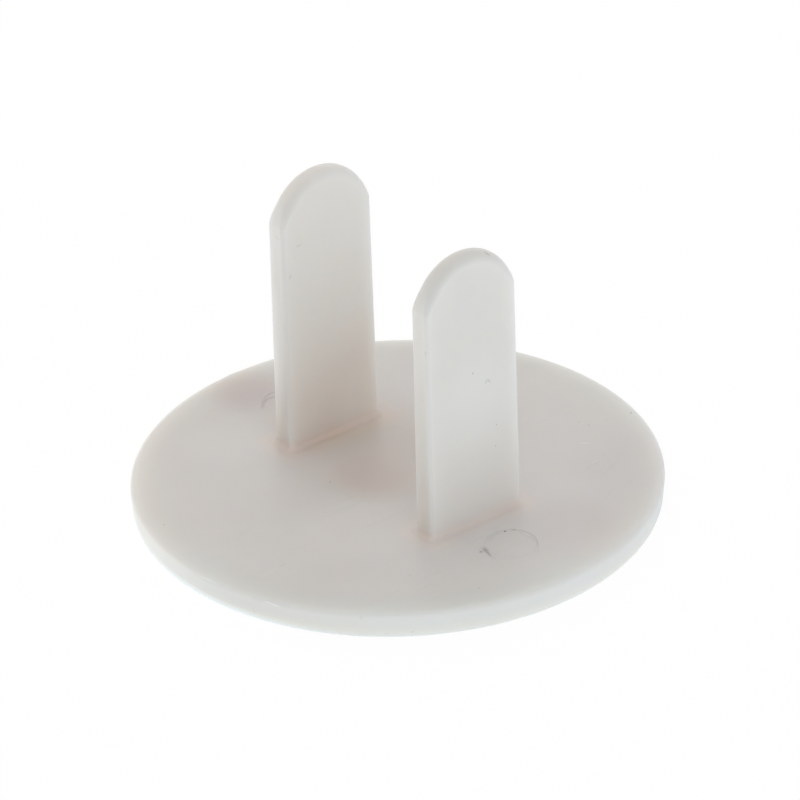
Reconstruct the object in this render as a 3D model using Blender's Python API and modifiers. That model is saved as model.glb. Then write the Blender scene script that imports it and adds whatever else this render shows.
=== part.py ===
# Outlet safety cover: a moulded plastic disc with two flat blades that push into a two-slot socket.
# The disc lies on its outer face, so the blades stand up along +Z.
# The origin is the middle of the outer face, +X runs from one blade to the other and +Y along their width.

from math import cos, pi, radians, sin

import bmesh
import bpy
from mathutils import Vector

MM = 0.001

# Disc
DISC_DIAMETER = 29.7 * MM
DISC_THICKNESS = 1.65 * MM
RIM_DRAFT = radians(5)  # the rim narrows towards the outer face
SEAT_EDGE_RADIUS = 0.30 * MM  # round of the rim at the face that lies against the socket
OUTER_EDGE_RADIUS = 0.45 * MM  # round of the rim at the face that shows in use

# Blades
BLADE_SPACING = 12.7 * MM  # from the middle of one socket slot to the middle of the other
BLADE_LENGTH = 16.7 * MM  # from the seat face to the tip
BLADE_ROOT_WIDTH = 6.3 * MM
BLADE_SHOULDER_WIDTH = 6.2 * MM  # where the straight sides end and the round tip begins
BLADE_ROOT_THICKNESS = 1.45 * MM
BLADE_TIP_THICKNESS = 1.30 * MM
SHOULDER_KINK = radians(10)  # the tip arc stops this far short of running smoothly into the sides
BLADE_SIDE_ROUND = 0.24 * MM
BLADE_TIP_ROUND = 0.45 * MM
TIP_BLEND_LENGTH = 1.2 * MM  # below the shoulders, where the tip's round narrows to the sides' round
ROOT_FILLET = 0.35 * MM
BLADE_EMBED = 0.8 * MM  # how far a blade's solid reaches into the disc that it is joined to

# Witness marks of the two ejector pins, outside the blades
EJECTOR_DIAMETER = 3.2 * MM
EJECTOR_DEPTH = 0.08 * MM
EJECTOR_CLEARANCE = 1.0 * MM  # from a blade's root fillet to the mark

# Facets
DISC_STEPS = 144
TIP_STEPS = 24
ROUND_STEPS = 4
FILLET_STEPS = 4
MARK_STEPS = 48
CUTTER_MARGIN = 1.0 * MM  # how far a cutter stands proud of the face that it cuts
SMOOTH_ANGLE = radians(35)

# Worked out from the sizes above
SEAT = DISC_THICKNESS
DISC_RADIUS = DISC_DIAMETER / 2
TIP_ARC_RADIUS = BLADE_SHOULDER_WIDTH / 2 / cos(SHOULDER_KINK)
TIP_ARC_CENTRE = SEAT + BLADE_LENGTH - TIP_ARC_RADIUS
SHOULDER_HEIGHT = TIP_ARC_CENTRE + TIP_ARC_RADIUS * sin(SHOULDER_KINK)
MARK_OFFSET = (
    BLADE_SPACING / 2 + BLADE_ROOT_THICKNESS / 2 + ROOT_FILLET + EJECTOR_CLEARANCE + EJECTOR_DIAMETER / 2
)
# A round never takes more than the thinnest section has to give.
MOST_ROUND = 0.48 * min(BLADE_TIP_THICKNESS, BLADE_ROOT_THICKNESS)
SIDE_ROUND = min(BLADE_SIDE_ROUND, MOST_ROUND)
TIP_ROUND = min(BLADE_TIP_ROUND, MOST_ROUND)


def clear_scene():
    for obj in list(bpy.data.objects):
        bpy.data.objects.remove(obj)


def new_collection(name, is_helper=False):
    collection = bpy.data.collections.new(name)
    bpy.context.scene.collection.children.link(collection)
    collection.hide_render = is_helper
    return collection


def new_object(name, mesh, collection):
    obj = bpy.data.objects.new(name, mesh)
    collection.objects.link(obj)
    return obj


def helper_object(name, mesh, collection):
    """An object that only joins or cuts another."""
    obj = new_object(name, mesh, collection)
    obj.hide_render = True
    obj.display_type = "WIRE"
    return obj


def evaluated_mesh(obj):
    bpy.context.view_layer.update()
    graph = bpy.context.evaluated_depsgraph_get()
    return bpy.data.meshes.new_from_object(obj.evaluated_get(graph))


def moulded_plastic():
    material = bpy.data.materials.new("white_moulded_plastic")
    material.use_nodes = True
    shader = material.node_tree.nodes["Principled BSDF"]
    shader.inputs["Base Color"].default_value = (0.70, 0.68, 0.65, 1.0)
    shader.inputs["Roughness"].default_value = 0.42
    shader.inputs["Metallic"].default_value = 0.0
    shader.inputs["Subsurface Weight"].default_value = 0.3
    shader.inputs["Subsurface Scale"].default_value = 1.0 * MM
    return material


def arc(centre, radius, start, end, steps):
    """Points of an arc in a plane, from one angle to another."""
    angles = [start + (end - start) * step / steps for step in range(steps + 1)]
    return [(centre[0] + radius * cos(a), centre[1] + radius * sin(a)) for a in angles]


def disc_profile():
    """Half the disc's section as (radius, height), from the axis over the seat face, down the rim and back."""
    seat_round = (DISC_RADIUS - SEAT_EDGE_RADIUS, SEAT - SEAT_EDGE_RADIUS)
    # The outer round touches the same slanted rim line as the round at the seat face.
    drop = seat_round[1] - OUTER_EDGE_RADIUS
    shift = (SEAT_EDGE_RADIUS - OUTER_EDGE_RADIUS - drop * sin(RIM_DRAFT)) / cos(RIM_DRAFT)
    outer_round = (seat_round[0] + shift, OUTER_EDGE_RADIUS)
    points = [(0.0, SEAT)]
    points += arc(seat_round, SEAT_EDGE_RADIUS, pi / 2, -RIM_DRAFT, ROUND_STEPS)
    points += arc(outer_round, OUTER_EDGE_RADIUS, -RIM_DRAFT, -pi / 2, ROUND_STEPS)
    points += [(0.0, 0.0)]
    return points


def turned_disc(helpers):
    """The disc's mesh, turned from its profile, with each flat side made a single face."""
    profile = bpy.data.meshes.new("disc_profile")
    points = [(radius, 0.0, height) for radius, height in disc_profile()]
    profile.from_pydata(points, [(i, i + 1) for i in range(len(points) - 1)], [])
    turned = helper_object("disc_profile", profile, helpers)
    screw = turned.modifiers.new("turn", "SCREW")
    screw.angle = 2 * pi
    screw.steps = DISC_STEPS
    screw.render_steps = DISC_STEPS
    screw.use_merge_vertices = True
    screw.merge_threshold = 0.001 * MM

    mesh = evaluated_mesh(turned)
    bpy.data.objects.remove(turned)
    bm = bmesh.new()
    bm.from_mesh(mesh)
    for height in (SEAT, 0.0):
        flat = [f for f in bm.faces if all(abs(v.co.z - height) < 0.0001 * MM for v in f.verts)]
        bmesh.ops.dissolve_faces(bm, faces=flat, use_verts=True)
    bm.to_mesh(mesh)
    bm.free()
    return mesh


def half_thickness(height):
    share = (height - SEAT) / BLADE_LENGTH
    return (BLADE_ROOT_THICKNESS + (BLADE_TIP_THICKNESS - BLADE_ROOT_THICKNESS) * share) / 2


def half_width(height):
    """Of the straight sides, which narrow evenly from the root to the shoulders."""
    share = (height - SEAT) / (SHOULDER_HEIGHT - SEAT)
    return (BLADE_ROOT_WIDTH + (BLADE_SHOULDER_WIDTH - BLADE_ROOT_WIDTH) * share) / 2


def edge_row(bm, point, outward, rounding, spread=0.0):
    """One section across a blade's narrow edge, from the +X face over both rounds to the -X face.

    point and outward are (y, z) on the blade's outline. spread swells the section, as the root fillet does."""
    reach = rounding + spread
    corner = arc((reach, reach), reach, -pi / 2, -pi, ROUND_STEPS)
    front, back = [], []
    for inset, setback in corner:
        y = point[0] + outward[0] * (spread - inset)
        z = point[1] + outward[1] * (spread - inset)
        x = half_thickness(z) + spread - setback
        front.append(bm.verts.new((x, y, z)))
        back.append(bm.verts.new((-x, y, z)))
    return front + back[::-1]


def side_row(bm, side, height, spread=0.0):
    return edge_row(bm, (side * half_width(height), height), (side, 0.0), SIDE_ROUND, spread)


def root_ring(bm, height, spread=0.0):
    """A level section right round a blade."""
    return side_row(bm, -1, height, spread) + side_row(bm, 1, height, spread)[::-1]


def skin(bm, lower, upper):
    """Faces between two rows of as many vertices."""
    for (a, b), (c, d) in zip(zip(lower, lower[1:]), zip(upper, upper[1:])):
        bm.faces.new((a, b, d, c))


def blade_mesh():
    """One blade round its own middle: a root that swells into the fillet, drafted sides and a round tip."""
    bm = bmesh.new()
    rings = [root_ring(bm, SEAT - BLADE_EMBED, ROOT_FILLET)]
    for step in range(FILLET_STEPS):
        angle = pi / 2 * (1 - step / FILLET_STEPS)
        lift = ROOT_FILLET * (1 - sin(angle))
        rings.append(root_ring(bm, SEAT + lift, ROOT_FILLET * (1 - cos(angle))))
    rings.append(root_ring(bm, SEAT + ROOT_FILLET))
    for lower, upper in zip(rings, rings[1:]):
        skin(bm, lower + lower[:1], upper + upper[:1])

    row_length = len(rings[0]) // 2
    blend_height = SHOULDER_HEIGHT - TIP_BLEND_LENGTH
    rows = [rings[-1][:row_length], side_row(bm, -1, blend_height)]
    for y, z in arc((0.0, TIP_ARC_CENTRE), TIP_ARC_RADIUS, pi - SHOULDER_KINK, SHOULDER_KINK, TIP_STEPS):
        outward = Vector((y, z - TIP_ARC_CENTRE)).normalized()
        rows.append(edge_row(bm, (y, z), outward, TIP_ROUND))
    rows += [side_row(bm, 1, blend_height), rings[-1][row_length:][::-1]]
    for row, following in zip(rows, rows[1:]):
        skin(bm, row, following)

    bm.faces.new([row[0] for row in rows])
    bm.faces.new([row[-1] for row in rows])
    bm.faces.new(rings[0])
    bmesh.ops.recalc_face_normals(bm, faces=bm.faces)
    mesh = bpy.data.meshes.new("blade")
    bm.to_mesh(mesh)
    bm.free()
    return mesh


def mark_mesh():
    """The pin that leaves a round witness mark in the seat face."""
    bm = bmesh.new()
    height = EJECTOR_DEPTH + CUTTER_MARGIN
    radius = EJECTOR_DIAMETER / 2
    bmesh.ops.create_cone(
        bm, cap_ends=True, segments=MARK_STEPS, radius1=radius, radius2=radius, depth=height
    )
    bmesh.ops.translate(bm, verts=bm.verts, vec=(0.0, 0.0, SEAT - EJECTOR_DEPTH + height / 2))
    mesh = bpy.data.meshes.new("ejector_pin")
    bm.to_mesh(mesh)
    bm.free()
    return mesh


def combine(target, operation, tool):
    boolean = target.modifiers.new(tool.name, "BOOLEAN")
    boolean.operation = operation
    boolean.solver = "EXACT"
    boolean.object = tool


def outlet_cover():
    """The whole moulding: the disc joined with both blades, less the two ejector marks."""
    parts = new_collection("outlet_safety_cover")
    helpers = new_collection("cutters", is_helper=True)
    raw = helper_object("cover_raw", turned_disc(helpers), helpers)
    blade = blade_mesh()
    pin = mark_mesh()
    tools = []
    for side, name in ((-1, "left"), (1, "right")):
        blade_tool = helper_object(f"{name}_blade", blade, helpers)
        blade_tool.location.x = side * BLADE_SPACING / 2
        combine(raw, "UNION", blade_tool)
        pin_tool = helper_object(f"{name}_ejector_pin", pin, helpers)
        pin_tool.location.x = side * MARK_OFFSET
        combine(raw, "DIFFERENCE", pin_tool)
        tools += [blade_tool, pin_tool]

    cover = new_object("outlet_cover", evaluated_mesh(raw), parts)
    for tool in [raw, *tools]:
        bpy.data.objects.remove(tool)
    cover.data.name = "outlet_cover"
    cover.data.materials.clear()
    cover.data.materials.append(moulded_plastic())
    cover.data.shade_smooth()
    cover.data.set_sharp_from_angle(angle=SMOOTH_ANGLE)
    return cover


clear_scene()
outlet_cover()
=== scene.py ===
# Outlet safety cover: a white moulded disc with two flat blades, lying on its outer face.
# The frame's origin is the middle of that face, +X runs from blade to blade and +Z up the blades.

from math import atan2, copysign, cos, pi, radians, sin, tan

import bmesh
import bpy
from mathutils import Matrix, Vector


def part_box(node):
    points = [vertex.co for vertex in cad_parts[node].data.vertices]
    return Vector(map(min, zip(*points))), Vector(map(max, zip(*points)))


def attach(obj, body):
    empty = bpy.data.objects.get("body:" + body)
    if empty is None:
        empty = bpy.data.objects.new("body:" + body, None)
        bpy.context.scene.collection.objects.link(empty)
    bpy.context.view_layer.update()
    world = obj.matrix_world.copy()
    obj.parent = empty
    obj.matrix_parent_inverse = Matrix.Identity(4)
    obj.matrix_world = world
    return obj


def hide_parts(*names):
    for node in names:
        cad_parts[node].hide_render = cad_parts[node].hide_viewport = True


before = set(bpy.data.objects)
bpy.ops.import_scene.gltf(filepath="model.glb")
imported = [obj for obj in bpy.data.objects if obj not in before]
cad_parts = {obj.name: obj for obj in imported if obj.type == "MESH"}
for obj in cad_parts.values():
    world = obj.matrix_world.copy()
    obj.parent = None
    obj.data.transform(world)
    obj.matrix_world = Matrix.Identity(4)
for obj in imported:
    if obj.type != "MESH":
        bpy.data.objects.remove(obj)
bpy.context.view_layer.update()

mm = 0.001
lowCorner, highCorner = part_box("outlet_cover")

disc = {
    "radius": (highCorner.x - lowCorner.x) / 2,
    "thickness": 1.65 * mm,
    "rimDraft": radians(5),  # the rim narrows towards the floor
    "seatRound": 0.30 * mm,
    "outerRound": 0.45 * mm,
    "segments": 720,
    "roundSegments": 8,
}

blade = {
    "spacing": 12.7 * mm,  # from the middle of one blade to the middle of the other
    "rootWidth": 6.3 * mm,
    "shoulderWidth": 6.2 * mm,
    "rootThickness": 1.45 * mm,
    "tipThickness": 1.30 * mm,
    "tipShort": 0.09 * mm,  # how far the tips stay below the solid's
    "shoulderKink": radians(9.5),  # where the tip arc meets the straight sides
    "sideRound": 0.24 * mm,
    "tipRound": 0.57 * mm,
    "blendLength": 1.2 * mm,  # along the tip arc, from one round to the other
    "bodyRows": 20,
    "embed": 0.8 * mm,  # how far the blade's own solid reaches into the disc
    "rootFillet": 0.35 * mm,
    "filletSegments": 8,
    "arcRows": 36,  # from a shoulder to the middle of the tip
    "roundSegments": 8,
}

ejectorMark = {
    "diameter": 2.9 * mm,
    "depth": 0.02 * mm,
    "offset": 10.025 * mm,  # from the disc's middle
    "edgeRound": 0.02 * mm,
    "segments": 96,
    "roundSegments": 3,
    "pinLength": 1 * mm,  # of the pin that cuts the mark
}

# Flash and nicks at the rim's upper edge: the bearing, half the width round the rim, the height, half
# the height that it covers, and how far it stands out, or in where that is negative.
rimFlash = [
    (radians(-178.3), 0.50 * mm, 1.35 * mm, 0.40 * mm, 0.060 * mm),
    (radians(-82.3), 0.80 * mm, 1.50 * mm, 0.22 * mm, 0.040 * mm),
    (radians(-65.5), 0.45 * mm, 1.42 * mm, 0.22 * mm, 0.040 * mm),
    (radians(-23.0), 0.70 * mm, 1.50 * mm, 0.25 * mm, -0.035 * mm),
]

flashDepth = 0.25 * mm  # only corners this near the rim move with the flash

meshing = {
    "weld": 0.0005 * mm,  # corners nearer to each other than this become one
    "near": 0.002 * mm,  # how far an edge may be from the place where it is looked for
    "levelUp": 0.5,  # the seat's normal points up by more than this, and a blade's by less
    "sharpAngle": radians(35),  # a sharper turn than this is shaded as an edge
}

bladeMiddles = {"left": -blade["spacing"] / 2, "right": blade["spacing"] / 2}
tipHeight = highCorner.z - blade["tipShort"]
bladeLength = tipHeight - disc["thickness"]
tipArcRadius = blade["shoulderWidth"] / 2 / cos(blade["shoulderKink"])
tipArcCentre = tipHeight - tipArcRadius
shoulderHeight = tipArcCentre + tipArcRadius * sin(blade["shoulderKink"])


def newObject(name, bm):
    mesh = bpy.data.meshes.new(name)
    bm.to_mesh(mesh)
    bm.free()
    obj = bpy.data.objects.new(name, mesh)
    bpy.context.scene.collection.objects.link(obj)
    return obj


def evaluatedMesh(obj):
    bpy.context.view_layer.update()
    graph = bpy.context.evaluated_depsgraph_get()
    return bpy.data.meshes.new_from_object(obj.evaluated_get(graph))


def bevelEdges(bm, edges, offset, segments):
    bmesh.ops.bevel(
        bm, geom=edges, offset=offset, offset_type="OFFSET", affect="EDGES",
        segments=segments, profile=0.5, material=-1, clamp_overlap=False,
    )


def vertsOf(geom):
    return [item for item in geom if isinstance(item, bmesh.types.BMVert)]


def wallRadius(height):
    # The rim is a straight drafted wall that touches the round at the seat face.
    draft, rounding = disc["rimDraft"], disc["seatRound"]
    rise = height - (disc["thickness"] - rounding)
    return disc["radius"] - rounding + (rounding + rise * sin(draft)) / cos(draft)


def makeDisc():
    draft = disc["rimDraft"]
    lowRadius, topRadius = wallRadius(0), wallRadius(disc["thickness"])
    bm = bmesh.new()
    bmesh.ops.create_circle(bm, cap_ends=True, segments=disc["segments"], radius=lowRadius)
    top = vertsOf(bmesh.ops.extrude_face_region(bm, geom=bm.faces[:])["geom"])
    bmesh.ops.scale(bm, verts=top, vec=(topRadius / lowRadius, topRadius / lowRadius, 1))
    bmesh.ops.translate(bm, verts=top, vec=(0, 0, disc["thickness"]))
    bmesh.ops.recalc_face_normals(bm, faces=bm.faces)
    halfWay = disc["thickness"] / 2
    seatEdge = [e for e in bm.edges if min(v.co.z for v in e.verts) > halfWay]
    outerEdge = [e for e in bm.edges if max(v.co.z for v in e.verts) < halfWay]
    # A round touches both faces this far from their edge.
    seatOffset = disc["seatRound"] / tan((pi / 2 - draft) / 2)
    outerOffset = disc["outerRound"] / tan((pi / 2 + draft) / 2)
    bevelEdges(bm, seatEdge, seatOffset, disc["roundSegments"])
    bevelEdges(bm, outerEdge, outerOffset, disc["roundSegments"])
    return newObject("discBlank", bm)


def halfThickness(height):
    share = (height - disc["thickness"]) / bladeLength
    return (blade["rootThickness"] + (blade["tipThickness"] - blade["rootThickness"]) * share) / 2


def halfWidth(height):
    share = (height - disc["thickness"]) / (shoulderHeight - disc["thickness"])
    return (blade["rootWidth"] + (blade["shoulderWidth"] - blade["rootWidth"]) * share) / 2


def outlineRows():
    # Places up one side of a blade, over its tip and down the other: (point, outward, round), in (y, z).
    foot = disc["thickness"] - blade["embed"]
    small, large, kink = blade["sideRound"], blade["tipRound"], blade["shoulderKink"]
    rows = []
    for row in range(blade["bodyRows"]):
        height = foot + (shoulderHeight - foot) * row / blade["bodyRows"]
        rows.append((Vector((halfWidth(height), height)), Vector((1, 0)), small))
    mitre = Vector((cos(kink / 2), sin(kink / 2)))
    rows.append((Vector((halfWidth(shoulderHeight), shoulderHeight)), mitre, small))
    centre = Vector((0, tipArcCentre))
    for row in range(1, blade["arcRows"] + 1):
        angle = kink + (pi / 2 - kink) * row / blade["arcRows"]
        outward = Vector((cos(angle), sin(angle)))
        # The sides' small round grows to the tip's large one.
        grown = min(1, (angle - kink) * tipArcRadius / blade["blendLength"])
        rows.append((centre + outward * tipArcRadius, outward, small + (large - small) * grown))
    mirrored = [
        (Vector((-point.x, point.y)), Vector((-outward.x, outward.y)), rounding)
        for point, outward, rounding in rows[:-1]
    ]
    return rows + mirrored[::-1]


def makeBlade(name, middle):
    # A grid is bent round the outline, with both rounds across it, and then capped in front and behind.
    rows = outlineRows()
    steps = blade["roundSegments"]
    columns = 2 * (steps + 1)
    bm = bmesh.new()
    bmesh.ops.create_grid(bm, x_segments=columns - 1, y_segments=len(rows) - 1, size=0.5)
    caps = {1: {}, -1: {}}
    for vert in bm.verts:
        row = round((vert.co.y + 0.5) * (len(rows) - 1))
        column = round((vert.co.x + 0.5) * (columns - 1))
        side = 1 if column <= steps else -1
        turn = min(column, columns - 1 - column) / steps * pi / 2
        point, outward, rounding = rows[row]
        y, z = point - outward * rounding * (1 - sin(turn))
        vert.co = (side * (halfThickness(z) - rounding * (1 - cos(turn))), y, z)
        if turn == 0:
            caps[side][row] = vert
    for cap in caps.values():
        bm.faces.new([cap[row] for row in sorted(cap)])
    bmesh.ops.holes_fill(bm, edges=[e for e in bm.edges if e.is_boundary])
    bmesh.ops.recalc_face_normals(bm, faces=bm.faces)
    bmesh.ops.translate(bm, verts=bm.verts, vec=(middle, 0, 0))
    return newObject(name, bm)


def makePin(name, middle):
    # The pin that pushed the part out of its mould and left a shallow round mark.
    bm = bmesh.new()
    radius, length = ejectorMark["diameter"] / 2, ejectorMark["pinLength"]
    bmesh.ops.create_cone(
        bm, cap_ends=True, segments=ejectorMark["segments"], radius1=radius, radius2=radius, depth=length,
        matrix=Matrix.Translation((middle, 0, disc["thickness"] - ejectorMark["depth"] + length / 2)),
    )
    return newObject(name, bm)


def isRoot(edge):
    # Whether a wall of a blade meets the seat face here.
    onSeat = all(abs(v.co.z - disc["thickness"]) < meshing["near"] for v in edge.verts)
    atBlade = all(abs(abs(v.co.x) - blade["spacing"] / 2) < blade["rootThickness"] for v in edge.verts)
    ups = sorted(face.normal.z for face in edge.link_faces)
    return onSeat and atBlade and len(ups) == 2 and ups[0] < meshing["levelUp"] < ups[1]


def isMarkEdge(edge):
    # Whether this is part of an ejector mark's ring, at its floor or at the seat face.
    for vert in edge.verts:
        fromMiddle = Vector((abs(vert.co.x) - ejectorMark["offset"], vert.co.y)).length
        if abs(fromMiddle - ejectorMark["diameter"] / 2) > meshing["near"]:
            return False
    return abs(edge.verts[0].co.z - edge.verts[1].co.z) < meshing["near"]


def raiseFlash(bm):
    for vert in bm.verts:
        if vert.co.xy.length < disc["radius"] - flashDepth:
            continue
        for bearing, halfAcross, height, halfHeight, out in rimFlash:
            turned = (atan2(vert.co.y, vert.co.x) - bearing + pi) % (2 * pi) - pi
            across = turned * disc["radius"] / halfAcross
            upward = (vert.co.z - height) / halfHeight
            share = max(0, 1 - across ** 2) * max(0, 1 - upward ** 2)
            vert.co += Vector((cos(bearing), sin(bearing), 0)) * out * share


def makeMoulding():
    raw = makeDisc()
    tools = []
    for side, middle in bladeMiddles.items():
        tools.append((makeBlade(side + "Blade", middle), "UNION"))
        tools.append((makePin(side + "Pin", copysign(ejectorMark["offset"], middle)), "DIFFERENCE"))
    for tool, operation in tools:
        join = raw.modifiers.new(tool.name, "BOOLEAN")
        join.operation = operation
        join.solver = "EXACT"
        join.object = tool
    mesh = evaluatedMesh(raw)
    for obj in [raw] + [tool for tool, operation in tools]:
        bpy.data.objects.remove(obj)

    bm = bmesh.new()
    bm.from_mesh(mesh)
    bmesh.ops.remove_doubles(bm, verts=bm.verts, dist=meshing["weld"])
    bevelEdges(bm, [e for e in bm.edges if isRoot(e)], blade["rootFillet"], blade["filletSegments"])
    markEdges = [e for e in bm.edges if isMarkEdge(e)]
    bevelEdges(bm, markEdges, ejectorMark["edgeRound"], ejectorMark["roundSegments"])
    raiseFlash(bm)
    bmesh.ops.recalc_face_normals(bm, faces=bm.faces)
    moulding = newObject("outletCoverMoulding", bm)
    moulding.data.shade_smooth()
    moulding.data.set_sharp_from_angle(angle=meshing["sharpAngle"])
    even = moulding.modifiers.new("evenNormals", "WEIGHTED_NORMAL")
    even.keep_sharp = True
    return moulding


moulding = makeMoulding()
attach(moulding, "root")
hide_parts("outlet_cover")
print("moulding:", len(moulding.data.polygons), "faces")

# In a pair of heights, facings or reaches a tone starts at the first and is whole at the second. A pair
# that is called a range is of a noise's values.
plastic = {
    "colour": (0.70, 0.69, 0.67, 1),
    "ior": 1.5,
    "scatterWeight": 0.8,
    "scatterScale": 3.0 * mm,
    "scatterRadius": (1.0, 0.85, 0.7),
    # Broad patches of painted shade where the colour is darker than the plastic's, and painted light where
    # it is lighter,
    # in mm: the middle, how far each reaches along X, Y and Z, and its colour. They are laid one over the
    # other in this order.
    "lightAndShadePatches": [
        ((-2.9, 0.9, 1.0), (9.5, 7.1, 10.0), (0.652, 0.610, 0.575, 1)),  # between the blades
        ((9.5, 12.0, 1.5), (7.5, 7.5, 6.0), (0.645, 0.645, 0.640, 1)),  # the disc's far right
        ((-5.7, 0.0, 15.5), (4.0, 5.0, 6.5), (0.727, 0.717, 0.698, 1)),  # the left blade's upper part
        ((-5.0, 0.6, 1.65), (1.4, 4.4, 0.8), (0.665, 0.614, 0.545, 1)),  # along the left blade's root
        ((-12.5, -1.0, 1.65), (3.2, 3.2, 1.0), (0.620, 0.580, 0.565, 1)),  # outside the left blade
        ((3.1, -5.9, 1.65), (4.6, 5.2, 1.5), (0.745, 0.730, 0.710, 1)),  # before the right blade
        ((-8.7, -5.1, 1.65), (3.6, 3.6, 1.0), (0.732, 0.732, 0.714, 1)),  # before the left blade
        ((-0.4, -1.5, 1.65), (3.4, 3.0, 1.0), (0.640, 0.584, 0.545, 1)),  # the middle of the seat
        ((10.8, 3.8, 1.65), (4.4, 4.4, 1.2), (0.670, 0.643, 0.632, 1)),  # outside the right blade
        ((7.0, 0.3, 9.4), (1.2, 3.4, 4.6), (0.724, 0.723, 0.703, 1)),  # the middle of the right blade's face
        ((-5.7, 1.6, 3.4), (1.2, 2.2, 4.2), (0.676, 0.650, 0.620, 1)),  # the foot of the left blade's face
    ],
    "patchFull": 0.8,  # the share of the way in at which a patch has its whole colour
    # Painted shade on the blades' narrow sides, deeper towards the disc.
    "sidePaintedShade": (0.628, 0.614, 0.598, 1),
    "sideFacing": (-0.3, -0.9),  # of the normal's Y
    "sideHeights": (14.0 * mm, 3.0 * mm),
    "sideFade": 0.3 * mm,  # above the seat
    # Painted shade on the rounds between the blades' faces and narrow sides.
    "arrisPaintedShade": (0.655, 0.650, 0.635, 1),
    "arrisFacing": (-0.1, -0.4),  # of the normal's X times its Y
    "arrisFade": 1.0 * mm,
    # Light gathers along the blades' roots and comes out warmer.
    "rootTint": (1.085, 1.020, 0.998, 1),
    "rootReach": 1.7 * mm,
    "rootSteepness": 1.9,  # how much faster it fades up a blade than over the seat
    # Painted shade on the up-facing rounds at the blades' tips, the left one less.
    "tipPaintedShade": (0.852, 0.878, 0.893, 1),
    "tipFacing": (0.0, 0.6),  # of the normal's Z
    "tipHeights": (12.5 * mm, 15.5 * mm),
    "leftTipShare": 0.65,
    # Slow streaks in the moulding. Scales are per metre.
    "flowScale": 130,
    "flowRange": (0.35, 0.65),
    "flowTints": ((0.985, 0.975, 0.970, 1), (1.0, 1.0, 1.0, 1)),
    # Rubbed scratches, fine lines that cross each other in some places.
    "scuffPatchScale": 160,
    "scuffPatchRange": (0.48, 0.62),
    "scuffScale": (2600, 240, 240),
    "scuffTurns": (radians(28), radians(-67)),
    "scuffRange": (0.66, 0.72),
    "scuffShare": 0.14,
    "scuffColour": (0.64, 0.63, 0.61, 1),
    "scuffDulling": 0.12,  # added to the roughness
    "darkMark": (0.10, 0.09, 0.085, 1),
    "paleMarkAndPaintedLight": (0.90, 0.90, 0.88, 1),
    # Gloss is uneven from the mould.
    "glossScale": 420,
    "glossRange": (0.3, 0.7),
    "roughness": (0.36, 0.48),  # the glossiest and the dullest
    # Relief: slow sink waves and a fine satin grain.
    "waveScale": 230,
    "waveDepth": 0.020 * mm,
    "grainScale": 2600,
    "grainDepth": 0.006 * mm,
}

# The rim's painted light and shade. Heights are over the floor, depths are below the seat face or in from
# the outline, and reaches are from the disc's middle towards the side with the painted glare.
rim = {
    # Painted shade greys the seat face towards its edge, except on the side with the painted glare.
    "edgePaintedShade": (0.650, 0.668, 0.655, 1),
    "edgeFrom": 12.0 * mm,  # from the disc's middle
    "edgeReach": (14.5 * mm, 10.5 * mm),
    "edgeDepth": 0.05 * mm,
    # Painted light on the wall below it, most of it at its foot.
    "wallPaintedLight": (0.710, 0.700, 0.678, 1),
    "wallDepths": (0.8 * mm, 0.2 * mm),
    "footPaintedLight": (0.80, 0.725, 0.655, 1),
    "footHeights": (1.0 * mm, 0.1 * mm),
    # Painted glare on one side of the rim, brightest at its foot.
    "glareSide": (-0.606, -0.795, 0),
    "paintedGlareColour": (0.88, 0.85, 0.80, 1),
    "paintedGlareReach": (10.5 * mm, 13.8 * mm),
    "paintedGlareDepths": (0.01 * mm, 0.17 * mm),
    "paintedGlareFootColour": (0.98, 0.96, 0.93, 1),
    "paintedGlareFootReach": (3.0 * mm, 11.0 * mm),
    "paintedGlareFootHeights": (0.65 * mm, 0.2 * mm),
}

# Specks and strokes on the part, in mm. Each has its surface, its place or its two ends, half its width,
# and how strongly it darkens, or lightens where that is negative. The middle has twice that strength.
# On the seat a place is x, y. On a blade's face it is y, z, and on its narrow side x, z. On the rim it
# is the bearing in degrees and z, and on a tip it is x, y, z.
specks = [
    ("seat", (8.80, 0.56), 0.08, 0.95),
    ("seat", (2.46, 11.06), 0.08, 0.18),
    ("seat", (3.08, 11.28), 0.08, 0.18),
    ("seat", (3.28, 12.35), 0.05, 0.14),
    ("seat", (3.61, 13.91), 0.06, 0.60),
    ("seat", (-1.55, -3.54), 0.07, 0.30),
    ("seat", (-0.50, -3.46), 0.06, 0.08),
    ("seat", (0.83, -5.72), 0.07, 0.11),
    ("seat", (-3.94, -13.21), 0.07, 0.24),
    ("seat", (8.96, -6.19), 0.06, 0.18),
    ("seat", (12.43, -4.18), 0.06, 0.28),
    ("seat", (9.60, -1.55), 0.50, 0.045),
    ("leftFace", (-2.07, 14.33), 0.08, 0.06),
    ("leftFace", (-2.28, 13.68), 0.08, 0.06),
    ("leftFace", (-1.91, 14.80), 0.09, 0.04),
    ("leftFace", (1.54, 2.27), 0.06, 0.045),
    ("rightFace", (-3.10, 6.98), 0.06, 0.12),
    ("rightFace", (-3.17, 4.50), 0.06, 0.12),
    ("rightFace", (-0.02, 11.06), 0.08, 0.26),
    ("rightFace", (1.52, 7.26), 0.06, 0.23),
    ("rightFace", (1.42, 5.96), 0.06, 0.23),
    ("leftSide", (-6.22, 15.05), 0.06, 0.15),
    ("leftSide", (-6.02, 15.00), 0.06, 0.15),
    ("rightSide", (6.52, 10.31), 0.06, 0.16),
    ("rim", (-43.2, 0.40), 0.06, 0.08),
    ("rim", (-40.9, 0.39), 0.05, 0.16),
    ("rim", (-40.4, 0.39), 0.05, 0.16),
    ("rim", (-35.2, 0.48), 0.06, 0.22),
    ("rim", (4.8, 0.40), 0.06, 0.12),
    ("rim", (10.0, 0.47), 0.06, 0.12),
]

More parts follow.
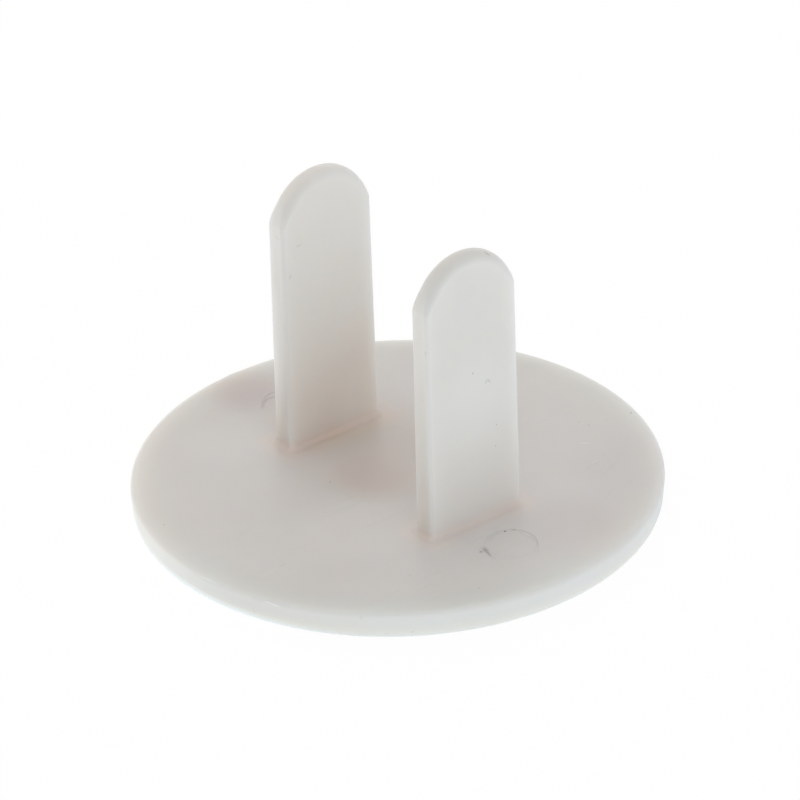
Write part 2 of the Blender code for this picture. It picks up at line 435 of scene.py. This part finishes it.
strokes = [
    # A leaf-shaped smudge on the right ejector mark.
    ("seat", (9.45, -1.42), (9.83, -1.54), 0.20, 0.22),
    ("seat", (9.83, -1.54), (10.30, -1.66), 0.12, 0.22),
    ("seat", (10.30, -1.66), (10.77, -1.67), 0.12, 0.05),
    ("seat", (9.64, -1.85), (9.60, -1.75), 0.11, 0.32),
    # Darker strokes along the edges of the ejector marks.
    ("seat", (9.10, 1.02), (8.96, 1.00), 0.08, 0.08),
    ("seat", (9.04, -0.80), (8.73, -0.16), 0.11, 0.06),
    ("seat", (8.73, -0.16), (8.79, 0.29), 0.10, 0.05),
    ("seat", (8.85, 0.77), (9.15, 1.19), 0.09, 0.07),
    ("seat", (9.30, 1.16), (9.83, 1.08), 0.10, 0.06),
    ("seat", (9.83, 1.08), (10.20, 1.27), 0.10, 0.05),
    ("seat", (10.20, 1.27), (10.79, 1.17), 0.11, 0.07),
    ("seat", (10.79, 1.17), (11.37, 0.87), 0.11, 0.04),
    ("seat", (11.37, 0.87), (11.68, 0.50), 0.10, 0.045),
    ("seat", (-10.39, -1.59), (-10.89, -1.08), 0.15, 0.10),
    ("seat", (-10.89, -1.08), (-11.11, -0.65), 0.15, 0.13),
    ("seat", (-11.11, -0.65), (-11.02, -0.10), 0.15, 0.13),
    # Scratches and rubbed places on the seat.
    ("seat", (-11.24, -2.57), (-10.86, -2.14), 0.07, 0.05),
    ("seat", (6.54, 9.20), (6.49, 8.73), 0.06, 0.08),
    ("seat", (6.47, 8.80), (6.90, 7.75), 0.07, 0.04),
    ("seat", (6.40, 9.15), (6.38, 8.70), 0.05, -0.30),
    ("seat", (5.86, 9.98), (6.36, 9.57), 0.05, 0.04),
    ("seat", (7.02, 10.17), (7.98, 8.00), 0.06, 0.04),
    ("seat", (9.18, 8.08), (9.79, 6.84), 0.06, 0.04),
    ("seat", (9.27, 9.16), (9.46, 8.89), 0.05, 0.06),
    ("seat", (3.61, 6.95), (3.61, 7.15), 0.06, -0.15),
    ("seat", (-1.50, -11.40), (-1.45, -11.20), 0.06, -0.20),
    ("seat", (4.25, 9.62), (4.65, 10.05), 0.08, -0.30),
    ("seat", (3.82, -12.47), (3.71, -10.89), 0.10, -0.08),
    ("seat", (3.66, -11.02), (3.69, -10.64), 0.07, 0.09),
    # On the blades. The long light one on the left side is light that comes through the blade.
    ("leftFace", (-2.13, 14.32), (-1.76, 14.37), 0.08, 0.07),
    ("leftFace", (-2.74, 12.55), (-2.58, 12.70), 0.08, 0.11),
    ("rightFace", (0.80, 10.08), (1.00, 10.32), 0.05, 0.22),
    ("rightFace", (1.00, 10.32), (1.18, 10.03), 0.05, 0.22),
    ("leftSide", (-6.70, 3.00), (-6.70, 12.00), 0.80, -0.22),
    ("leftSide", (-5.75, 2.40), (-5.75, 8.00), 0.35, 0.03),
    ("rightSide", (6.90, 13.52), (6.90, 13.30), 0.08, 0.14),
    ("tip", (6.66, 1.27, 17.94), (6.80, 1.50, 17.72), 0.12, 0.16),
    # On the rim. The first two are painted highlights along the flash at the rim's upper edge.
    ("rim", (-85.0, 1.50), (-79.4, 1.54), 0.07, -0.50),
    ("rim", (-67.3, 1.52), (-63.3, 1.42), 0.07, -0.50),
    ("rim", (-70.0, 0.85), (-69.7, 0.42), 0.07, 0.06),
    ("rim", (-45.9, 1.45), (-45.6, 1.40), 0.12, 0.05),
]


def markPlace(surface, spot):
    if surface == "tip":
        return Vector(spot) * mm
    if surface == "rim":
        bearing, height = radians(spot[0]), spot[1] * mm
        rise = max(0, height - disc["thickness"] + disc["seatRound"])
        radius = disc["radius"] - disc["seatRound"] + (disc["seatRound"] ** 2 - rise ** 2) ** 0.5
        radius = min(radius, wallRadius(height))
        return Vector((radius * cos(bearing), radius * sin(bearing), height))
    across, up = spot[0] * mm, spot[1] * mm
    if surface == "seat":
        fromMark = Vector((abs(across) - ejectorMark["offset"], up)).length
        sunk = ejectorMark["depth"] if fromMark < ejectorMark["diameter"] / 2 else 0
        return Vector((across, up, disc["thickness"] - sunk))
    middle = bladeMiddles["left" if surface.startswith("left") else "right"]
    if surface.endswith("Face"):
        return Vector((middle + halfThickness(up), across, up))
    return Vector((across, -halfWidth(up), up))


def mathNode(tree, operation, *values):
    node = tree.nodes.new("ShaderNodeMath")
    node.operation = operation
    for socket, value in zip(node.inputs, values):
        if isinstance(value, bpy.types.NodeSocket):
            tree.links.new(value, socket)
        else:
            socket.default_value = value
    return node.outputs[0]


def product(tree, first, second):
    return mathNode(tree, "MULTIPLY", first, second)


def partsOf(tree, vector):
    # The X, Y and Z of a place or a direction.
    node = tree.nodes.new("ShaderNodeSeparateXYZ")
    tree.links.new(vector, node.inputs[0])
    return node.outputs


def vectorNode(tree, operation, first, second=(0, 0, 0)):
    node = tree.nodes.new("ShaderNodeVectorMath")
    node.operation = operation
    tree.links.new(first, node.inputs[0])
    node.inputs[1].default_value = second
    return node.outputs["Value" if operation in ("LENGTH", "DOT_PRODUCT") else "Vector"]


def rangeNode(tree, value, fromLow, fromHigh, toLow=0, toHigh=1, smooth=False):
    node = tree.nodes.new("ShaderNodeMapRange")
    if smooth:
        node.interpolation_type = "SMOOTHSTEP"
    limits = {"From Min": fromLow, "From Max": fromHigh, "To Min": toLow, "To Max": toHigh}
    for name, limit in limits.items():
        node.inputs[name].default_value = limit
    tree.links.new(value, node.inputs["Value"])
    return node.outputs["Result"]


def colourMix(tree, share, first, second, blend="MIX"):
    node = tree.nodes.new("ShaderNodeMix")
    node.data_type = "RGBA"
    node.blend_type = blend
    sockets = {socket.identifier: socket for socket in [*node.inputs, *node.outputs]}
    for name, value in (("Factor_Float", share), ("A_Color", first), ("B_Color", second)):
        if isinstance(value, bpy.types.NodeSocket):
            tree.links.new(value, sockets[name])
        else:
            sockets[name].default_value = value
    return sockets["Result_Color"]


def mapped(tree, place, location=(0, 0, 0), turn=(0, 0, 0), scale=(1, 1, 1), kind="POINT"):
    node = tree.nodes.new("ShaderNodeMapping")
    node.vector_type = kind
    tree.links.new(place, node.inputs["Vector"])
    node.inputs["Location"].default_value = location
    node.inputs["Rotation"].default_value = turn
    node.inputs["Scale"].default_value = scale
    return node.outputs["Vector"]


def noiseNode(tree, place, scale, detail=2, roughness=0.5):
    node = tree.nodes.new("ShaderNodeTexNoise")
    tree.links.new(place, node.inputs["Vector"])
    node.inputs["Scale"].default_value = scale
    node.inputs["Detail"].default_value = detail
    node.inputs["Roughness"].default_value = roughness
    return node.outputs["Fac"]


def ovalNode(tree, place, middle, turn, reach):
    # 1 in the middle of the oval, falling evenly to 0 at its edge.
    fitted = mapped(tree, place, middle, turn, reach, "TEXTURE")
    node = tree.nodes.new("ShaderNodeTexGradient")
    node.gradient_type = "SPHERICAL"
    tree.links.new(fitted, node.inputs["Vector"])
    return node.outputs["Fac"]


def makeMarks(tree, place):
    total = 0
    for surface, spot, reach, strength in specks:
        away = vectorNode(tree, "LENGTH", vectorNode(tree, "SUBTRACT", place, markPlace(surface, spot)))
        speck = mathNode(tree, "MULTIPLY_ADD", away, -1 / (reach * mm), 1)
        speck.node.use_clamp = True
        total = mathNode(tree, "MULTIPLY_ADD", speck, 2 * strength, total)
    for surface, start, end, reach, strength in strokes:
        start, end = markPlace(surface, start), markPlace(surface, end)
        along, width = end - start, reach * mm
        turn = along.to_track_quat("X", "Z").to_euler()
        size = (along.length / 2 + width, width, width)
        stroke = ovalNode(tree, place, (start + end) / 2, turn, size)
        total = mathNode(tree, "MULTIPLY_ADD", stroke, 2 * strength, total)
    return total


def rootNearness(tree, place):
    # The distance to the rectangle where a blade meets the seat, for both blades at once.
    near = vectorNode(tree, "SUBTRACT", place, (0, 0, disc["thickness"]))
    near = vectorNode(tree, "ABSOLUTE", near)
    near = vectorNode(tree, "SUBTRACT", near, (blade["spacing"] / 2, 0, 0))
    near = vectorNode(tree, "ABSOLUTE", near)
    near = vectorNode(tree, "SUBTRACT", near, (blade["rootThickness"] / 2, blade["rootWidth"] / 2, 0))
    near = vectorNode(tree, "MULTIPLY", vectorNode(tree, "MAXIMUM", near), (1, 1, plastic["rootSteepness"]))
    return rangeNode(tree, vectorNode(tree, "LENGTH", near), 0, plastic["rootReach"], 1, 0, smooth=True)


def makeScuffs(tree, place):
    lightAndShadePatches = noiseNode(tree, place, plastic["scuffPatchScale"])
    lightAndShadePatches = rangeNode(tree, lightAndShadePatches, *plastic["scuffPatchRange"])
    scuffs = 0
    for turn in plastic["scuffTurns"]:
        stretched = mapped(tree, place, turn=(0, 0, turn), scale=plastic["scuffScale"])
        streaks = noiseNode(tree, stretched, scale=1, detail=1)
        scuffs = mathNode(tree, "MAXIMUM", rangeNode(tree, streaks, *plastic["scuffRange"]), scuffs)
    return product(tree, scuffs, lightAndShadePatches)


def makeRimTones(tree, place):
    # Painted shade at the seat's edge, painted light on the wall and its foot, and painted glare on one
    # side.
    height = partsOf(tree, place)["Z"]
    offAxis = vectorNode(tree, "LENGTH", vectorNode(tree, "MULTIPLY", place, (1, 1, 0)))
    toward = vectorNode(tree, "DOT_PRODUCT", place, rim["glareSide"])
    seat, outline = disc["thickness"], disc["radius"]
    onTop = rangeNode(tree, height, seat - disc["seatRound"], seat - rim["edgeDepth"])
    edge = rangeNode(tree, offAxis, rim["edgeFrom"], outline - disc["seatRound"], smooth=True)
    edge = product(tree, edge, rangeNode(tree, toward, *rim["edgeReach"]))
    onWall = rangeNode(tree, offAxis, *(outline - depth for depth in rim["wallDepths"]))
    foot = rangeNode(tree, height, *rim["footHeights"])
    paintedGlare = rangeNode(tree, toward, *rim["paintedGlareReach"])
    below = rangeNode(tree, height, *(seat - depth for depth in rim["paintedGlareDepths"]))
    paintedGlareFoot = rangeNode(tree, toward, *rim["paintedGlareFootReach"])
    paintedGlareFoot = product(tree, paintedGlareFoot, rangeNode(tree, height, *rim["paintedGlareFootHeights"]))
    colour = plastic["colour"]
    for share, mask, tone in (
        (onWall, onWall, "wallPaintedLight"), (edge, onTop, "edgePaintedShade"), (foot, onWall, "footPaintedLight"),
        (paintedGlare, below, "paintedGlareColour"), (paintedGlareFoot, onWall, "paintedGlareFootColour"),
    ):
        colour = colourMix(tree, product(tree, share, mask), colour, rim[tone])
    return colour


def makeBladeTones(tree, place, normal, colour):
    # Painted shade on the narrow sides, on the rounds beside them and on the tips' up-facing rounds.
    facing = partsOf(tree, normal)
    across, height = partsOf(tree, place)["X"], partsOf(tree, place)["Z"]
    seat = disc["thickness"]
    side = product(
        tree, rangeNode(tree, facing["Y"], *plastic["sideFacing"], smooth=True),
        rangeNode(tree, height, *plastic["sideHeights"], smooth=True),
    )
    side = product(tree, side, rangeNode(tree, height, seat, seat + plastic["sideFade"]))
    colour = colourMix(tree, side, colour, plastic["sidePaintedShade"])
    arris = product(
        tree, product(tree, facing["X"], facing["Y"]),
        rangeNode(tree, height, seat, seat + plastic["arrisFade"]),
    )
    arris = rangeNode(tree, arris, *plastic["arrisFacing"])
    colour = colourMix(tree, arris, colour, plastic["arrisPaintedShade"])
    tip = product(
        tree, rangeNode(tree, facing["Z"], *plastic["tipFacing"]),
        rangeNode(tree, height, *plastic["tipHeights"], smooth=True),
    )
    tipShadeShare = rangeNode(tree, across, *bladeMiddles.values(), plastic["leftTipShare"], 1)
    colour = colourMix(tree, product(tree, tip, tipShadeShare), colour, plastic["tipPaintedShade"], "MULTIPLY")
    return colourMix(tree, rootNearness(tree, place), colour, plastic["rootTint"], "MULTIPLY")


def makePlastic():
    material = bpy.data.materials.new("satinWhitePlastic")
    material.use_nodes = True
    tree = material.node_tree
    shader = tree.nodes["Principled BSDF"]
    coordinates = tree.nodes.new("ShaderNodeTexCoord")
    place, normal = coordinates.outputs["Object"], coordinates.outputs["Normal"]

    # Colour: the rim's painted light and shade, patches of painted light and shade, painted shade on the
    # blades' sides, rounds and tips, roots, slow streaks, scuffs and then the marks.
    colour = makeRimTones(tree, place)
    for middle, reach, tone in plastic["lightAndShadePatches"]:
        patch = ovalNode(tree, place, Vector(middle) * mm, (0, 0, 0), Vector(reach) * mm)
        patch = rangeNode(tree, patch, 0, plastic["patchFull"], smooth=True)
        colour = colourMix(tree, patch, colour, tone)
    colour = makeBladeTones(tree, place, normal, colour)
    flow = rangeNode(tree, noiseNode(tree, place, plastic["flowScale"], detail=3), *plastic["flowRange"])
    colour = colourMix(tree, 1.0, colour, colourMix(tree, flow, *plastic["flowTints"]), "MULTIPLY")
    scuffs = makeScuffs(tree, place)
    colour = colourMix(tree, product(tree, scuffs, plastic["scuffShare"]), colour, plastic["scuffColour"])
    marked = makeMarks(tree, place)
    colour = colourMix(tree, marked, colour, plastic["darkMark"])
    colour = colourMix(tree, product(tree, marked, -1), colour, plastic["paleMarkAndPaintedLight"])
    tree.links.new(colour, shader.inputs["Base Color"])

    # Gloss: uneven from the mould, and duller where it is scuffed.
    gloss = noiseNode(tree, place, plastic["glossScale"], detail=3)
    gloss = rangeNode(tree, gloss, *plastic["glossRange"], *plastic["roughness"])
    gloss = mathNode(tree, "MULTIPLY_ADD", scuffs, plastic["scuffDulling"], gloss)
    tree.links.new(gloss, shader.inputs["Roughness"])

    # Relief: heights are in mm, which the bump's distance turns into metres.
    relief = noiseNode(tree, place, plastic["waveScale"], detail=1)
    relief = product(tree, relief, plastic["waveDepth"] / mm)
    grain = noiseNode(tree, place, plastic["grainScale"], detail=1)
    relief = mathNode(tree, "MULTIPLY_ADD", grain, plastic["grainDepth"] / mm, relief)
    bump = tree.nodes.new("ShaderNodeBump")
    bump.inputs["Distance"].default_value = 1 * mm
    tree.links.new(relief, bump.inputs["Height"])
    tree.links.new(bump.outputs["Normal"], shader.inputs["Normal"])

    shader.inputs["IOR"].default_value = plastic["ior"]
    shader.inputs["Subsurface Weight"].default_value = plastic["scatterWeight"]
    shader.inputs["Subsurface Scale"].default_value = plastic["scatterScale"]
    shader.inputs["Subsurface Radius"].default_value = plastic["scatterRadius"]
    return material


moulding.data.materials.append(makePlastic())
print("material done")

studio = {
    "floorSize": 2.0,
    "floorDrop": 0.01 * mm,  # below the part, so that the two faces don't coincide
    "floorColour": (0.9, 0.9, 0.9, 1),
    "floorGlow": (0.65, 0.86, 1.0, 1),  # the light table's own light
    "floorGlowLevel": 0.49,
    "coverRadii": (12.8 * mm, 14.2 * mm),  # the floor glows from none to all between these
    "shadowShare": 0.15,  # of the floor's own shading that the camera sees under the white
    "openLevel": 0.72,  # how bright the open floor's own shading is
    # What the light tent sends from each side, blended in between.
    "tent": {
        (0, 0, 1): (0.81, 0.745, 0.725),
        (1, 0, 0): (0.875, 0.955, 1.015),
        (0, 1, 0): (0.63, 0.64, 0.64),
        (-1, 0, 0): (0.94, 0.94, 0.91),
        (0, -1, 0): (0.64, 0.60, 0.55),
    },
}


def cameraSeesWhite(tree):
    # 1 where the background is seen by the camera or in a gloss, and 0 where it lights the part.
    path = tree.nodes.new("ShaderNodeLightPath")
    seen = path.outputs["Is Camera Ray"]
    for name in ("Is Glossy Ray", "Is Transmission Ray"):
        seen = mathNode(tree, "MAXIMUM", seen, path.outputs[name])
    return seen


def shaderMix(tree, share, first, second):
    node = tree.nodes.new("ShaderNodeMixShader")
    if isinstance(share, bpy.types.NodeSocket):
        tree.links.new(share, node.inputs[0])
    else:
        node.inputs[0].default_value = share
    tree.links.new(first.outputs[0], node.inputs[1])
    tree.links.new(second.outputs[0], node.inputs[2])
    return node


def makeLightTable():
    material = bpy.data.materials.new("lightTable")
    material.use_nodes = True
    tree = material.node_tree
    tree.nodes.remove(tree.nodes["Principled BSDF"])
    matt = tree.nodes.new("ShaderNodeBsdfDiffuse")
    matt.inputs["Color"].default_value = studio["floorColour"]
    # The part keeps the light off the floor that it covers.
    glow = tree.nodes.new("ShaderNodeEmission")
    glow.inputs["Color"].default_value = studio["floorGlow"]
    place = tree.nodes.new("ShaderNodeTexCoord").outputs["Object"]
    fromMiddle = vectorNode(tree, "LENGTH", place)
    level = rangeNode(tree, fromMiddle, *studio["coverRadii"], 0, studio["floorGlowLevel"])
    tree.links.new(level, glow.inputs["Strength"])
    lit = tree.nodes.new("ShaderNodeAddShader")
    tree.links.new(matt.outputs[0], lit.inputs[0])
    tree.links.new(glow.outputs[0], lit.inputs[1])
    # White where the floor is open, and a little darker where the part shades it.
    share = studio["shadowShare"]
    white = tree.nodes.new("ShaderNodeEmission")
    white.inputs["Strength"].default_value = (1 - share * studio["openLevel"]) / (1 - share)
    shown = shaderMix(tree, share, white, matt)
    mix = shaderMix(tree, cameraSeesWhite(tree), lit, shown)
    tree.links.new(mix.outputs[0], tree.nodes["Material Output"].inputs["Surface"])
    return material


def makeFloor():
    bm = bmesh.new()
    bmesh.ops.create_grid(bm, x_segments=1, y_segments=1, size=studio["floorSize"] / 2)
    bmesh.ops.translate(bm, verts=bm.verts, vec=(0, 0, -studio["floorDrop"]))
    floor = newObject("floor", bm)
    floor.data.materials.append(makeLightTable())


def makeSky():
    world = bpy.data.worlds.new("studio")
    bpy.context.scene.world = world
    world.use_nodes = True
    tree = world.node_tree
    direction = tree.nodes.new("ShaderNodeTexCoord").outputs["Generated"]
    light = None
    for side, colour in studio["tent"].items():
        # The square of how far a direction points to this side. The squares for all sides add up to 1.
        facing = vectorNode(tree, "DOT_PRODUCT", direction, side)
        toward = mathNode(tree, "POWER", mathNode(tree, "MAXIMUM", facing, 0), 2)
        part = tree.nodes.new("ShaderNodeVectorMath")
        part.operation = "SCALE"
        part.inputs[0].default_value = colour
        tree.links.new(toward, part.inputs["Scale"])
        if light is None:
            light = part.outputs["Vector"]
        else:
            both = tree.nodes.new("ShaderNodeVectorMath")
            tree.links.new(light, both.inputs[0])
            tree.links.new(part.outputs["Vector"], both.inputs[1])
            light = both.outputs["Vector"]
    tent = tree.nodes["Background"]
    tree.links.new(light, tent.inputs["Color"])
    white = tree.nodes.new("ShaderNodeBackground")
    white.inputs["Color"].default_value = (1, 1, 1, 1)
    mix = shaderMix(tree, cameraSeesWhite(tree), tent, white)
    tree.links.new(mix.outputs[0], tree.nodes["World Output"].inputs["Surface"])


softBoxes = {
    "distance": 0.40,
    "aim": (0, 0, 6 * mm),
    # Each box's bearing from -Y towards +X, its height over the floor, width, height, level and colour.
    "boxes": [
        ("back", radians(-127), radians(30), 0.30, 0.30, 0.23, (1.0, 1.0, 1.0)),
    ],
}


def makeSoftBoxes():
    for name, bearing, height, wide, tall, level, colour in softBoxes["boxes"]:
        lamp = bpy.data.lights.new(name + "Box", "AREA")
        lamp.shape = "RECTANGLE"
        lamp.size = wide
        lamp.size_y = tall
        lamp.color = colour
        lamp.energy = level * pi * wide * tall
        obj = bpy.data.objects.new(name + "Box", lamp)
        bpy.context.scene.collection.objects.link(obj)
        away = Vector((sin(bearing) * cos(height), -cos(bearing) * cos(height), sin(height)))
        obj.location = Vector(softBoxes["aim"]) + away * softBoxes["distance"]
        obj.rotation_euler = away.to_track_quat("Z", "Y").to_euler()
        obj.visible_camera = False


makeFloor()
makeSky()
makeSoftBoxes()
print("studio done")

# The camera stands where the photograph's outline of the part fixes it.
view = {
    "azimuth": radians(52.692),  # from -Y towards +X
    "elevation": radians(30.445),
    "roll": radians(1.814),
    "distance": 347.744 * mm,
    "focalPixels": 6242.99,
    "middlePixels": (398.198, 496.748),  # where the frame's origin is in the picture
    "imageWidth": 800,
    "sensorWidth": 36.0,
    "nearest": 10 * mm,  # what is closer to the camera isn't seen
}


def makeCamera():
    azimuth, elevation, roll = view["azimuth"], view["elevation"], view["roll"]
    ahead = -Vector((sin(azimuth) * cos(elevation), -cos(azimuth) * cos(elevation), sin(elevation)))
    right = ahead.cross(Vector((0, 0, 1))).normalized()
    down = ahead.cross(right)
    across = cos(roll) * right + sin(roll) * down
    along = cos(roll) * down - sin(roll) * right
    half = view["imageWidth"] / 2
    aside = (view["middlePixels"][0] - half) / view["focalPixels"]
    below = (view["middlePixels"][1] - half) / view["focalPixels"]
    place = -view["distance"] * (across * aside + along * below + ahead)
    camera = bpy.data.objects.new("camera", bpy.data.cameras.new("camera"))
    bpy.context.scene.collection.objects.link(camera)
    turn = Matrix((across, -along, -ahead)).transposed()
    camera.matrix_world = Matrix.Translation(place) @ turn.to_4x4()
    camera.data.sensor_width = view["sensorWidth"]
    camera.data.lens = view["focalPixels"] / view["imageWidth"] * view["sensorWidth"]
    camera.data.clip_start = view["nearest"]
    bpy.context.scene.camera = camera


makeCamera()
bpy.context.scene.view_settings.view_transform = "Standard"
print("camera done")
